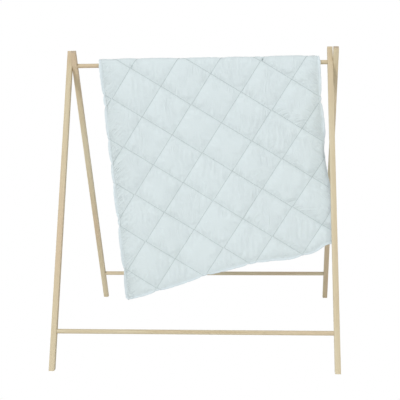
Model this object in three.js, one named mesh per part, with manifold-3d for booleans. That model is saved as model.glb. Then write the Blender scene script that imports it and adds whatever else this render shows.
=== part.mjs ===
// Quilt hung over a folding A-frame rack. Millimetres, +Z up, +Y away from the viewer.
// The rack is two equal H-shaped frames, one turned half round, that cross side by side
// near their tops. A round top rail runs through all four legs there and is their pivot.
// The quilt lies askew over the top rail: a long drop in front, a shorter one behind.
// Origin: floor level, in the middle of the footprint.

import * as THREE from 'three';
import { mergeVertices } from 'three/addons/utils/BufferGeometryUtils.js';
import Module from 'manifold-3d';

const wasm = await Module();
wasm.setup();

// Rack: driving sizes.
const LEG_PITCH = 1100;
const LEG_WIDTH = 22;
const LEG_DEPTH = 22;
const LEG_GAP = 0.5;
const LEAN = THREE.MathUtils.degToRad(24.25);
const PIVOT_HEIGHT = 1161;
const LEG_ABOVE_PIVOT = 66;
const RAIL_DIAMETER = 18;
const LOWER_RAIL_HEIGHT = 137;

// Joinery.
const CLEARANCE = 0.3;
const TENON_DIAMETER = 12;
const LOWER_TENON_LENGTH = 14;
const COUNTERBORE_DIAMETER = 17;
const COUNTERBORE_DEPTH = 3.2;
const WASHER_DIAMETER = 16;
const WASHER_HOLE_DIAMETER = 5;
const WASHER_THICKNESS = 1.2;
const SCREW_DIAMETER = 4;
const SCREW_TIP = 5;
const PIVOT_SCREW_LENGTH = 32;
const PIVOT_HEAD_DIAMETER = 9;
const PIVOT_HEAD_HEIGHT = 1.4;
const LOWER_SCREW_LENGTH = 30;
const LOWER_HEAD_DIAMETER = 8;
const LOWER_HEAD_HEIGHT = 3;
const ROUND_SEGMENTS = 48;

// Quilt: three layers, from the rail outwards, and the two hanging outlines as [x, z].
const BACKING_THICKNESS = 1.5;
const WADDING_THICKNESS = 9;
const FACE_THICKNESS = 1.5;
const FOLD_SEGMENTS = 24;
const QUILT_LEFT = -433;
const QUILT_RIGHT = 497;
const FRONT_OUTLINE = [
  [QUILT_LEFT, PIVOT_HEIGHT],
  [-346, 205],
  [-338, 158],
  [-318, 147],
  [-222, 171],
  [60, 266],
  [210, 303],
  [405, 334],
  [470, 362],
  [525, 388],
  [525, 720],
  [512, 930],
  [QUILT_RIGHT, PIVOT_HEIGHT],
];
const BACK_OUTLINE = [
  [QUILT_RIGHT, PIVOT_HEIGHT],
  [370, 622],
  [-392, 810],
  [QUILT_LEFT, PIVOT_HEIGHT],
];
const OUTLINE_REACH = 60;

// Places that follow from the sizes above.
const HALF_WIDTH = (LEG_PITCH + 2 * LEG_WIDTH + LEG_GAP) / 2;
const OUTER_LEG_X = HALF_WIDTH - LEG_WIDTH;
const INNER_LEG_X = OUTER_LEG_X - LEG_GAP - LEG_WIDTH;
const BORE_DIAMETER = TENON_DIAMETER + 2 * CLEARANCE;
const PILOT_DIAMETER = SCREW_DIAMETER + 2 * CLEARANCE;
const LOWER_RAIL_DROP = (PIVOT_HEIGHT - LOWER_RAIL_HEIGHT) / Math.cos(LEAN);

// Materials.
const PINE = { color: 0xd5c4a0, roughness: 0.62, metalness: 0 };
const STEEL = { color: 0xb4b5b6, roughness: 0.35, metalness: 1 };
const COTTON = { color: 0xd8e3e4, roughness: 0.9, metalness: 0 };
const WADDING = { color: 0xf2f2ee, roughness: 1, metalness: 0 };

// A closed mesh as a solid that can be joined and cut.
function toSolid(geometry) {
  const bare = geometry.clone();
  bare.deleteAttribute('normal');
  bare.deleteAttribute('uv');
  const merged = mergeVertices(bare);
  return new wasm.Manifold(new wasm.Mesh({
    numProp: 3,
    vertProperties: new Float32Array(merged.attributes.position.array),
    triVerts: new Uint32Array(merged.index.array),
  }));
}

// A solid as a mesh that can be shown.
function toGeometry(solid) {
  const mesh = solid.getMesh();
  const geometry = new THREE.BufferGeometry();
  const position = new THREE.BufferAttribute(new Float32Array(mesh.vertProperties), 3);
  geometry.setAttribute('position', position);
  geometry.setIndex(new THREE.BufferAttribute(new Uint32Array(mesh.triVerts), 1));
  geometry.computeVertexNormals();
  return geometry;
}

function makePiece(name, geometry, look) {
  const piece = new THREE.Mesh(geometry, new THREE.MeshStandardMaterial(look));
  piece.name = name;
  return piece;
}

// Turns a shape drawn as (Y, Z) and extruded along its own normal so that it runs along X.
function alongX(geometry) {
  const turn = new THREE.Matrix4().makeBasis(
    new THREE.Vector3(0, 1, 0),
    new THREE.Vector3(0, 0, 1),
    new THREE.Vector3(1, 0, 0),
  );
  return geometry.applyMatrix4(turn);
}

// A round bar along X, from x1 to x2, centred on y = 0 and the given z.
function barX(diameter, x1, x2, z = 0) {
  const bar = new THREE.CylinderGeometry(diameter / 2, diameter / 2, x2 - x1, ROUND_SEGMENTS);
  bar.rotateZ(-Math.PI / 2);
  bar.translate((x1 + x2) / 2, 0, z);
  return bar;
}

// A turned piece along X. Its profile is a list of [radius, x], from low x to high x.
function turnedX(profile) {
  const points = profile.map(([radius, x]) => new THREE.Vector2(radius, x));
  const turned = new THREE.LatheGeometry(points, ROUND_SEGMENTS);
  turned.rotateZ(-Math.PI / 2);
  return turned;
}

// Leg ------------------------------------------------------------------------------------
// Drawn upright with the pivot at z = 0. The foot is cut level for a leg that leans by lean.
function legBlank(x, lean) {
  const half = LEG_DEPTH / 2;
  const footAt = (y) => -(PIVOT_HEIGHT + y * Math.sin(lean)) / Math.cos(lean);
  const side = new THREE.Shape([
    new THREE.Vector2(-half, footAt(-half)),
    new THREE.Vector2(half, footAt(half)),
    new THREE.Vector2(half, LEG_ABOVE_PIVOT),
    new THREE.Vector2(-half, LEG_ABOVE_PIVOT),
  ]);
  const blank = alongX(new THREE.ExtrudeGeometry(side, { depth: LEG_WIDTH, bevelEnabled: false }));
  return blank.translate(x, 0, 0);
}

// Cuts the leg's blank: pivot bore, blind bore for the lower rail, and its screw's hole.
// outward is +1 where the leg's outer face looks to +X, and -1 where it looks to -X.
function makeLeg(name, x, outward, lean, hasCounterbore) {
  const inner = outward > 0 ? x : x + LEG_WIDTH;
  const outer = outward > 0 ? x + LEG_WIDTH : x;
  const span = (from, to) => [Math.min(from, to), Math.max(from, to)];
  const beyond = outer + outward;
  let leg = toSolid(legBlank(x, lean));
  leg = leg.subtract(toSolid(barX(BORE_DIAMETER, x - 1, x + LEG_WIDTH + 1)));
  if (hasCounterbore) {
    const floor = outer - outward * COUNTERBORE_DEPTH;
    leg = leg.subtract(toSolid(barX(COUNTERBORE_DIAMETER, ...span(floor, beyond))));
  }
  const mouth = inner - outward;
  const blindEnd = inner + outward * (LOWER_TENON_LENGTH + CLEARANCE);
  const blindBore = barX(BORE_DIAMETER, ...span(mouth, blindEnd), -LOWER_RAIL_DROP);
  leg = leg.subtract(toSolid(blindBore));
  const screwHole = barX(PILOT_DIAMETER, ...span(mouth, beyond), -LOWER_RAIL_DROP);
  leg = leg.subtract(toSolid(screwHole));
  leg = leg.subtract(toSolid(countersink(outer, outward)));
  return makePiece(name, toGeometry(leg), PINE);
}

// The cone that lets a flat screw head sit flush in the leg's outer face.
function countersink(outer, outward) {
  const headRadius = LOWER_HEAD_DIAMETER / 2 + CLEARANCE;
  const holeRadius = PILOT_DIAMETER / 2;
  const depth = LOWER_HEAD_HEIGHT + CLEARANCE;
  const cone = turnedX([
    [0, -depth],
    [holeRadius, -depth],
    [headRadius, 0],
    [headRadius, 1],
    [0, 1],
  ]);
  if (outward < 0) {
    cone.rotateY(Math.PI);
  }
  return cone.translate(outer, 0, -LOWER_RAIL_DROP);
}

// Rails ----------------------------------------------------------------------------------
// A dowel with a shoulder and a thinner tenon at each end, and a pilot hole in each tenon.
function makeRail(name, shoulders, ends, pilotDepth, z) {
  const tenon = TENON_DIAMETER / 2;
  const body = RAIL_DIAMETER / 2;
  const profile = [
    [0, ends[0]],
    [tenon, ends[0]],
    [tenon, shoulders[0]],
    [body, shoulders[0]],
    [body, shoulders[1]],
    [tenon, shoulders[1]],
    [tenon, ends[1]],
    [0, ends[1]],
  ];
  let rail = toSolid(turnedX(profile).translate(0, 0, z));
  rail = rail.subtract(toSolid(barX(PILOT_DIAMETER, ends[0] - 1, ends[0] + pilotDepth, z)));
  rail = rail.subtract(toSolid(barX(PILOT_DIAMETER, ends[1] - pilotDepth, ends[1] + 1, z)));
  return makePiece(name, toGeometry(rail), PINE);
}

// Fasteners ------------------------------------------------------------------------------
// Each is drawn pointing to -X with the top of its head at x = 0, then put on its side.
function placeOnSide(piece, outer, outward, z) {
  if (outward < 0) {
    piece.geometry.rotateY(Math.PI);
  }
  piece.position.set(outer, 0, z);
  return piece;
}

function makeCountersunkScrew(name, outer, outward, z) {
  const shank = SCREW_DIAMETER / 2;
  const geometry = turnedX([
    [0, -LOWER_SCREW_LENGTH],
    [shank, -LOWER_SCREW_LENGTH + SCREW_TIP],
    [shank, -LOWER_HEAD_HEIGHT],
    [LOWER_HEAD_DIAMETER / 2, 0],
    [0, 0],
  ]);
  return placeOnSide(makePiece(name, geometry, STEEL), outer, outward, z);
}

function makePivotScrew(name, outward) {
  const shank = SCREW_DIAMETER / 2;
  const head = PIVOT_HEAD_DIAMETER / 2;
  const geometry = turnedX([
    [0, -PIVOT_SCREW_LENGTH],
    [shank, -PIVOT_SCREW_LENGTH + SCREW_TIP],
    [shank, -PIVOT_HEAD_HEIGHT],
    [head, -PIVOT_HEAD_HEIGHT],
    [head, 0],
    [0, 0],
  ]);
  return placeOnSide(makePiece(name, geometry, STEEL), outward * HALF_WIDTH, outward, 0);
}

function makePivotWasher(name, outward) {
  const top = -PIVOT_HEAD_HEIGHT - CLEARANCE;
  const hole = WASHER_HOLE_DIAMETER / 2;
  const rim = WASHER_DIAMETER / 2;
  const geometry = turnedX([
    [hole, top - WASHER_THICKNESS],
    [rim, top - WASHER_THICKNESS],
    [rim, top],
    [hole, top],
    [hole, top - WASHER_THICKNESS],
  ]);
  return placeOnSide(makePiece(name, geometry, STEEL), outward * HALF_WIDTH, outward, 0);
}

// Frames ---------------------------------------------------------------------------------
// Each frame has its outer leg on one side and its inner leg on the other. The rear frame is
// the front frame turned half round, so both lean outwards at the foot.
function makeFrame(frameName, outerSide, innerSide) {
  const frame = new THREE.Group();
  const innerFace = [-OUTER_LEG_X, INNER_LEG_X];
  const shoulders = [innerFace[0] + CLEARANCE, innerFace[1] - CLEARANCE];
  const ends = [innerFace[0] - LOWER_TENON_LENGTH, innerFace[1] + LOWER_TENON_LENGTH];
  const pilotDepth = LOWER_SCREW_LENGTH - (LEG_WIDTH - LOWER_TENON_LENGTH) + 2;
  frame.add(makeLeg(`${frameName}_${outerSide}_leg`, -HALF_WIDTH, -1, -LEAN, true));
  frame.add(makeLeg(`${frameName}_${innerSide}_leg`, INNER_LEG_X, 1, -LEAN, false));
  frame.add(makeRail(`${frameName}_lower_rail`, shoulders, ends, pilotDepth, -LOWER_RAIL_DROP));
  const screwName = (side) => `${frameName}_rail_screw_${side}`;
  frame.add(makeCountersunkScrew(screwName(outerSide), -HALF_WIDTH, -1, -LOWER_RAIL_DROP));
  const innerLegOutside = INNER_LEG_X + LEG_WIDTH;
  frame.add(makeCountersunkScrew(screwName(innerSide), innerLegOutside, 1, -LOWER_RAIL_DROP));
  frame.rotation.x = -LEAN;
  return frame;
}

// Top rail with the screws and washers that hold the legs on its tenons.
function makePivot() {
  const pivot = new THREE.Group();
  const shoulder = INNER_LEG_X - CLEARANCE;
  const end = HALF_WIDTH - COUNTERBORE_DEPTH;
  const pilotDepth = PIVOT_SCREW_LENGTH - COUNTERBORE_DEPTH + 2;
  pivot.add(makeRail('top_rail', [-shoulder, shoulder], [-end, end], pilotDepth, 0));
  for (const [side, outward] of [['left', -1], ['right', 1]]) {
    pivot.add(makePivotWasher(`pivot_washer_${side}`, outward));
    pivot.add(makePivotScrew(`pivot_screw_${side}`, outward));
  }
  return pivot;
}

// Quilt ----------------------------------------------------------------------------------
// One layer folded over the rail, as a long U upside down between two radii.
function foldedLayer(innerRadius, outerRadius) {
  const section = new THREE.Shape();
  section.moveTo(-outerRadius, 0);
  section.lineTo(-innerRadius, 0);
  section.lineTo(-innerRadius, PIVOT_HEIGHT);
  section.absarc(0, PIVOT_HEIGHT, innerRadius, Math.PI, 0, true);
  section.lineTo(innerRadius, 0);
  section.lineTo(outerRadius, 0);
  section.lineTo(outerRadius, PIVOT_HEIGHT);
  section.absarc(0, PIVOT_HEIGHT, outerRadius, 0, Math.PI, false);
  section.closePath();
  const settings = { depth: 2 * HALF_WIDTH, bevelEnabled: false, curveSegments: FOLD_SEGMENTS };
  return alongX(new THREE.ExtrudeGeometry(section, settings)).translate(-HALF_WIDTH, 0, 0);
}

// A prism through the front or back half, between y = 0 and y = reach, with room above.
function outlinePrism(outline, reach) {
  const points = outline.map(([x, z]) => new THREE.Vector2(x, z));
  points.push(new THREE.Vector2(outline.at(-1)[0], PIVOT_HEIGHT + OUTLINE_REACH));
  points.push(new THREE.Vector2(outline[0][0], PIVOT_HEIGHT + OUTLINE_REACH));
  const settings = { depth: OUTLINE_REACH, bevelEnabled: false };
  const prism = new THREE.ExtrudeGeometry(new THREE.Shape(points), settings);
  prism.rotateX(Math.PI / 2);
  return reach > 0 ? prism.translate(0, OUTLINE_REACH, 0) : prism;
}

function makeQuilt() {
  const quilt = new THREE.Group();
  const front = toSolid(outlinePrism(FRONT_OUTLINE, -OUTLINE_REACH));
  const back = toSolid(outlinePrism(BACK_OUTLINE, OUTLINE_REACH));
  const outline = front.add(back);
  const layers = [
    ['quilt_backing', BACKING_THICKNESS, COTTON],
    ['quilt_wadding', WADDING_THICKNESS, WADDING],
    ['quilt_face', FACE_THICKNESS, COTTON],
  ];
  let radius = RAIL_DIAMETER / 2 + CLEARANCE;
  for (const [name, thickness, look] of layers) {
    const layer = toSolid(foldedLayer(radius, radius + thickness)).intersect(outline);
    quilt.add(makePiece(name, toGeometry(layer), look));
    radius += thickness + CLEARANCE;
  }
  return quilt;
}

const rack = new THREE.Group();
const frontFrame = makeFrame('front', 'left', 'right');
const rearFrame = new THREE.Group();
rearFrame.add(makeFrame('rear', 'right', 'left'));
rearFrame.rotation.z = Math.PI;
rack.add(frontFrame, rearFrame, makePivot());
rack.position.z = PIVOT_HEIGHT;

const quiltOnRack = new THREE.Group();
quiltOnRack.add(rack, makeQuilt());

export default quiltOnRack;
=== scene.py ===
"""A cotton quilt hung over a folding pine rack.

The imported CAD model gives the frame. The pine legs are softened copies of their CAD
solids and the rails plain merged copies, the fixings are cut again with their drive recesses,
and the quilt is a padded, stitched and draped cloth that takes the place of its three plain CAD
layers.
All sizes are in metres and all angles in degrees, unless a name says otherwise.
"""

import logging
import math
from dataclasses import dataclass
from enum import Enum

import bmesh
import bpy
import numpy as np
from mathutils import Matrix, Vector
from mathutils.bvhtree import BVHTree


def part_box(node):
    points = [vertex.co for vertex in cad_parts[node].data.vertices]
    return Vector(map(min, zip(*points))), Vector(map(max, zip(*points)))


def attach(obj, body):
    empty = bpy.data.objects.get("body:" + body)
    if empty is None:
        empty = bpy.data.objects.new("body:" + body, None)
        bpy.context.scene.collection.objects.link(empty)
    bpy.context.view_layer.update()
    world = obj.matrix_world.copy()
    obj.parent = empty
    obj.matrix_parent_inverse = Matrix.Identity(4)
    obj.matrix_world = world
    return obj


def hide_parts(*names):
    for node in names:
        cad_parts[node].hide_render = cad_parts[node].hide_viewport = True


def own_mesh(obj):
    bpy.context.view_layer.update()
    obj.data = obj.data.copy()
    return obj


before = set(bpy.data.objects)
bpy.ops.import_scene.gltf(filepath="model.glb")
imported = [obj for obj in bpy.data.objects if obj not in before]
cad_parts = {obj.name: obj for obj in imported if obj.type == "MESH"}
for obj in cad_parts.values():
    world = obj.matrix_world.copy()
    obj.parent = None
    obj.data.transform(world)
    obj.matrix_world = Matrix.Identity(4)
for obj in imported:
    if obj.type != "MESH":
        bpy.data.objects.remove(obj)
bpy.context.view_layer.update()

LOG = logging.getLogger("quilt_on_a_rack")
MERGE_DISTANCE = 1e-5
WHITE = (1.0, 1.0, 1.0, 1.0)
# The quilting thread is darker than the cloth, partly as its own colour and partly as painted shade
# of the stitch groove.
QUILTING_THREAD_AND_GROOVE_SHADE = (0.30, 0.375, 0.37, 1.0), (0.38, 0.455, 0.45, 1.0)
HEM_COLOURS = (0.50, 0.58, 0.585, 1.0), (0.60, 0.68, 0.69, 1.0)
QUARTER = math.pi / 2
VECTOR, NUMBER = "NodeSocketVector", "NodeSocketFloat"

Array = np.ndarray
Solid = bmesh.types.BMesh
Mesh = bpy.types.Mesh
Piece = bpy.types.Object
Material = bpy.types.Material
Tree = bpy.types.NodeTree
Node = bpy.types.Node
Socket = bpy.types.NodeSocket
Colour = tuple[float, float, float, float]
Triple = tuple[float, float, float]
Pair = tuple[float, float]
Spans = list[tuple[Vector, Vector]]


class Side(Enum):
    """The two cloths of the quilt."""

    FACE = 1
    BACKING = -1


class Grain(Enum):
    """Which way the wood fibres of a stick run."""

    LEANING_FORWARD = "front leg"
    LEANING_BACK = "rear leg"
    ACROSS = "rail"


# Small tools ------------------------------------------------------------------------------


def smoothstep(value: Array, low: float, high: float) -> Array:
    """Eases from 0 at low to 1 at high.

    Args:
        value: Where the ease is wanted.
        low: The value that gives 0.
        high: The value that gives 1.

    Returns:
        The eased share, between 0 and 1.
    """
    share = np.clip((np.asarray(value, float) - low) / (high - low), 0.0, 1.0)
    return share * share * (3.0 - 2.0 * share)


def coordinates(mesh: Mesh) -> Array:
    """Returns the corner positions of a mesh as rows of x, y and z."""
    flat = np.zeros(len(mesh.vertices) * 3)
    mesh.vertices.foreach_get("co", flat)
    return flat.reshape(-1, 3)


def set_coordinates(mesh: Mesh, points: Array) -> None:
    """Moves the corners of a mesh to the rows of points."""
    mesh.vertices.foreach_set("co", np.ascontiguousarray(points, np.float32).ravel())
    mesh.update()


def place(name: str, solid: Solid, smooth_below: float = 35.0) -> Piece:
    """Makes an object of a finished bmesh, shaded smooth except at its sharp edges.

    Args:
        name: The name of the new piece.
        solid: The finished shape, which is freed.
        smooth_below: The largest angle between two faces that still looks round.

    Returns:
        The new object, linked to the scene.
    """
    mesh = bpy.data.meshes.new(name)
    solid.to_mesh(mesh)
    solid.free()
    mesh.shade_smooth()
    mesh.set_sharp_from_angle(angle=math.radians(smooth_below))
    piece = bpy.data.objects.new(name, mesh)
    bpy.context.scene.collection.objects.link(piece)
    return piece


def merged_copy(node: str) -> Solid:
    """Returns a CAD solid's own shape with its loose triangles joined into flat faces."""
    solid = bmesh.new()
    solid.from_mesh(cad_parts[node].data)
    bmesh.ops.remove_doubles(solid, verts=solid.verts, dist=MERGE_DISTANCE)
    bmesh.ops.dissolve_limit(
        solid, angle_limit=math.radians(0.6), verts=solid.verts, edges=solid.edges
    )
    return solid


def soften(solid: Solid, edges: list[bmesh.types.BMEdge], width: float, segments: int) -> None:
    """Rounds some edges of a solid.

    Args:
        solid: The shape, which changes.
        edges: The edges to round.
        width: How far the round reaches onto each face.
        segments: How many flats make the round.
    """
    bmesh.ops.bevel(
        solid,
        geom=edges,
        offset=width,
        segments=segments,
        affect="EDGES",
        profile=0.5,
        material=-1,
        clamp_overlap=True,
    )


class NodeBoard:
    """Adds and joins the nodes of one material or node group."""

    def __init__(self, tree: Tree) -> None:
        """Starts work on a node tree."""
        self.tree = tree

    def add(self, kind: str, inputs: dict | None = None, **settings: object) -> Node:
        """Adds one node, sets it up and joins it.

        Args:
            kind: The node type, such as "ShaderNodeMath".
            inputs: For each input, by name or number, a socket to join or a value to set.
            settings: The node's own properties.

        Returns:
            The new node.
        """
        node = self.tree.nodes.new(kind)
        for name, value in settings.items():
            setattr(node, name, value)
        self.feed(node, inputs or {})
        return node

    def feed(self, node: Node, inputs: dict) -> None:
        """Joins sockets to a node's inputs, or sets the inputs to plain values."""
        for key, value in inputs.items():
            if isinstance(value, Socket):
                self.tree.links.new(value, node.inputs[key])
            else:
                node.inputs[key].default_value = value

    def math(self, operation: str, *values: object) -> Socket:
        """Adds a Math node of values or sockets and returns its result."""
        return self.add("ShaderNodeMath", dict(enumerate(values)), operation=operation).outputs[0]

    def times(self, first: object, second: object) -> Socket:
        """Multiplies two values or sockets and returns the result."""
        return self.math("MULTIPLY", first, second)

    def plus(self, first: object, second: object) -> Socket:
        """Adds two values or sockets up and returns the result."""
        return self.math("ADD", first, second)

    def minus(self, first: object, second: object) -> Socket:
        """Takes the second value or socket from the first and returns the result."""
        return self.math("SUBTRACT", first, second)

    def mix(self, share: object, low: object, high: object) -> Socket:
        """Mixes two colours and returns the result."""
        return self.add("ShaderNodeMix", {0: share, 6: low, 7: high}, data_type="RGBA").outputs[2]

    def split(self, vector: object) -> list[Socket]:
        """Returns the x, y and z of a vector."""
        return list(self.add("ShaderNodeSeparateXYZ", {0: vector}).outputs)

    def bump(self, height: object, distance: float, strength: float, **more: object) -> Socket:
        """Adds relief of a height and returns the bent normal."""
        inputs = {"Height": height, "Distance": distance, "Strength": strength}
        if "under" in more:
            inputs["Normal"] = more.pop("under")
        return self.add("ShaderNodeBump", inputs, **more).outputs[0]

    def noise(
        self, vector: object, scale: float, detail: float = 2.0, rough: float = 0.5
    ) -> Socket:
        """Adds a noise of a vector and returns its value, from 0 to 1."""
        inputs = {"Vector": vector, "Scale": scale, "Detail": detail, "Roughness": rough}
        return self.add("ShaderNodeTexNoise", inputs).outputs[0]

    def stretch(self, vector: object, scale: Triple, offset: Triple = (0, 0, 0)) -> Socket:
        """Scales and moves a vector and returns the result."""
        inputs = {"Vector": vector, "Scale": scale, "Location": offset}
        return self.add("ShaderNodeMapping", inputs).outputs[0]

    def ease(
        self, value: object, low: float, high: float, to_low: float = 0.0, to_high: float = 1.0
    ) -> Socket:
        """Eases a value's range onto another and returns the result."""
        node = self.add(
            "ShaderNodeMapRange",
            {0: value, 1: low, 2: high, 3: to_low, 4: to_high},
            interpolation_type="SMOOTHSTEP",
        )
        return node.outputs[0]


def new_group(
    name: str, takes: dict[str, str], gives: dict[str, str]
) -> tuple[NodeBoard, Node, Node]:
    """Starts a shader node group.

    Args:
        name: The group's name.
        takes: The socket type of each named input.
        gives: The socket type of each named output.

    Returns:
        The board to build on, and the group's input and output nodes.
    """
    tree = bpy.data.node_groups.new(name, "ShaderNodeTree")
    for socket, kind in takes.items():
        tree.interface.new_socket(name=socket, in_out="INPUT", socket_type=kind)
    for socket, kind in gives.items():
        tree.interface.new_socket(name=socket, in_out="OUTPUT", socket_type=kind)
    board = NodeBoard(tree)
    return board, board.add("NodeGroupInput"), board.add("NodeGroupOutput")


def new_material(name: str) -> tuple[Material, NodeBoard, Node]:
    """Starts a material and returns it, its board and its Principled shader."""
    material = bpy.data.materials.new(name)
    material.use_nodes = True
    board = NodeBoard(material.node_tree)
    return material, board, material.node_tree.nodes["Principled BSDF"]


# Finishes ---------------------------------------------------------------------------------


def pine_grain_group() -> Tree:
    """Builds the shared pine figure: growth rings, fibres, tone and end grain."""
    board, given, result = new_group(
        "Pine grain",
        {"Along grain": VECTOR, "Facing": VECTOR, "Piece": NUMBER},
        {"Color": "NodeSocketColor", "Roughness": NUMBER, "Height": NUMBER},
    )
    shift = board.add("ShaderNodeCombineXYZ", {0: board.times(given.outputs["Piece"], 3.17)})
    moved = {0: given.outputs["Along grain"], 1: shift.outputs[0]}
    along = board.add("ShaderNodeVectorMath", moved, operation="ADD").outputs[0]
    wander = board.noise(board.stretch(along, (1.6, 9.0, 9.0)), 1.0, 2.0)
    beside, above = board.split(along)[1:]
    pith_side = board.math("SINE", board.times(given.outputs["Piece"], 2.3))
    across = board.plus(beside, board.times(pith_side, 0.018))
    deep = board.plus(above, 0.041)
    square = board.plus(board.times(across, across), board.times(deep, deep))
    radius = board.math("SQRT", square)
    radius = board.plus(radius, board.times(wander, 0.011))
    ring = board.math("FRACT", board.times(radius, 330.0))
    late = board.times(board.ease(ring, 0.35, 0.88), board.ease(ring, 1.0, 0.92))
    fibre = board.noise(board.stretch(along, (14.0, 900.0, 900.0)), 1.0, 3.0, 0.6)
    streak = board.noise(board.stretch(along, (1.3, 55.0, 55.0)), 1.0, 2.0)
    tone = board.noise(board.stretch(along, (2.2, 24.0, 24.0), (4.0, 1.0, 2.0)), 1.0, 1.0)
    pale, amber = (0.70, 0.615, 0.43, 1.0), (0.54, 0.42, 0.24, 1.0)
    lined = board.times(late, board.ease(streak, 0.3, 0.7, 0.35, 0.85))
    base = board.mix(lined, pale, amber)
    base = board.mix(board.ease(tone, 0.45, 0.75, 0.0, 0.55), base, (0.66, 0.49, 0.34, 1.0))
    base = board.mix(board.ease(tone, 0.48, 0.25, 0.0, 0.5), base, (0.74, 0.67, 0.49, 1.0))
    base = board.mix(board.ease(fibre, 0.35, 0.7, 0.0, 0.22), base, (0.44, 0.33, 0.19, 1.0))
    facing = board.split(given.outputs["Facing"])[0]
    end = board.ease(board.math("ABSOLUTE", facing), 0.6, 0.85)
    pores = board.noise(board.stretch(along, (40.0, 1500.0, 1500.0)), 1.0, 2.0)
    dark_pore, pale_wood = (0.50, 0.41, 0.30, 1.0), (0.68, 0.58, 0.44, 1.0)
    sawn = board.mix(board.ease(pores, 0.35, 0.65), dark_pore, pale_wood)
    sawn = board.mix(board.times(late, 0.6), sawn, (0.42, 0.30, 0.18, 1.0))
    base = board.mix(end, base, sawn)
    rough = board.plus(board.ease(fibre, 0.3, 0.7, 0.52, 0.66), board.times(end, 0.18))
    height = board.plus(board.times(late, 0.45), board.times(fibre, 0.55))
    board.feed(result, {"Color": base, "Roughness": rough, "Height": height})
    return board.tree


def weave_group() -> Tree:
    """Builds the shared plain weave: crossing yarns, slubs and a soft uneven tone."""
    board, given, result = new_group(
        "Plain weave",
        {"Cloth": VECTOR, "Yarns per metre": NUMBER},
        {"Height": NUMBER, "Slub": NUMBER, "Tone": NUMBER},
    )
    cloth = given.outputs["Cloth"]
    turn = board.times(given.outputs["Yarns per metre"], math.pi)
    warp, weft = (board.math("SINE", board.times(way, turn)) for way in board.split(cloth)[:2])
    checker = board.times(warp, weft)
    ridges = board.plus(board.math("ABSOLUTE", warp), board.math("ABSOLUTE", weft))
    height = board.plus(board.times(checker, 0.35), board.times(ridges, 0.4))
    along_warp = board.stretch(cloth, (420.0, 14.0, 1.0))
    along_weft = board.stretch(cloth, (14.0, 420.0, 1.0), (3.0, 7.0, 0.0))
    slub_warp, slub_weft = (board.noise(way, 1.0, 2.0, 0.6) for way in (along_warp, along_weft))
    slub = board.plus(board.ease(slub_warp, 0.5, 0.8), board.ease(slub_weft, 0.5, 0.8))
    tone = board.noise(board.stretch(cloth, (9.0, 9.0, 1.0)), 1.0, 3.0, 0.55)
    board.feed(result, {"Height": height, "Slub": slub, "Tone": tone})
    return board.tree


@dataclass(frozen=True)
class PineFinish:
    """Clear-sealed planed pine."""

    grain: Grain
    piece: float
    lean: float = 24.25
    bump: float = 0.00025

    def material(self, group: Tree) -> Material:
        """Builds the finish of one stick.

        Args:
            group: The shared pine figure.

        Returns:
            The material, whose figure runs along the stick.
        """
        material, board, shader = new_material(f"pine_{self.piece:g}")
        upright, turn = {
            Grain.ACROSS: (0.0, 0.0),
            Grain.LEANING_FORWARD: (self.lean, QUARTER),
            Grain.LEANING_BACK: (-self.lean, QUARTER),
        }[self.grain]
        spot = board.add("ShaderNodeTexCoord")
        vectors = []
        for output in ("Object", "Normal"):
            tilt = {"Vector": spot.outputs[output], "Rotation": (math.radians(upright), 0.0, 0.0)}
            stood = board.add("ShaderNodeMapping", tilt).outputs[0]
            laid = board.add("ShaderNodeMapping", {"Vector": stood, "Rotation": (0.0, turn, 0.0)})
            vectors.append(laid.outputs[0])
        given = {"Along grain": vectors[0], "Facing": vectors[1], "Piece": self.piece}
        figure = board.add("ShaderNodeGroup", node_tree=group)
        board.feed(figure, given)
        look = {
            "Base Color": figure.outputs["Color"],
            "Roughness": figure.outputs["Roughness"],
            "Normal": board.bump(figure.outputs["Height"], self.bump, 0.6),
            "Specular IOR Level": 0.35,
        }
        board.feed(shader, look)
        return material


@dataclass(frozen=True)
class SteelFinish:
    """Bright zinc-plated steel with fine turning marks."""

    colour: Colour = (0.62, 0.63, 0.63, 1.0)

    def material(self) -> Material:
        """Builds the finish and returns it."""
        material, board, shader = new_material("plated_steel")
        spot = board.add("ShaderNodeTexCoord").outputs["Object"]
        cloud = board.noise(board.stretch(spot, (400.0, 400.0, 400.0)), 1.0, 3.0)
        scratch = board.noise(board.stretch(spot, (3000.0, 300.0, 300.0)), 1.0, 2.0)
        tint = board.mix(board.ease(cloud, 0.3, 0.7), self.colour, (0.52, 0.53, 0.55, 1.0))
        look = {
            "Base Color": tint,
            "Roughness": board.ease(scratch, 0.3, 0.7, 0.24, 0.42),
            "Normal": board.bump(scratch, 0.00005, 0.4),
            "Metallic": 1.0,
        }
        board.feed(shader, look)
        return material


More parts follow.
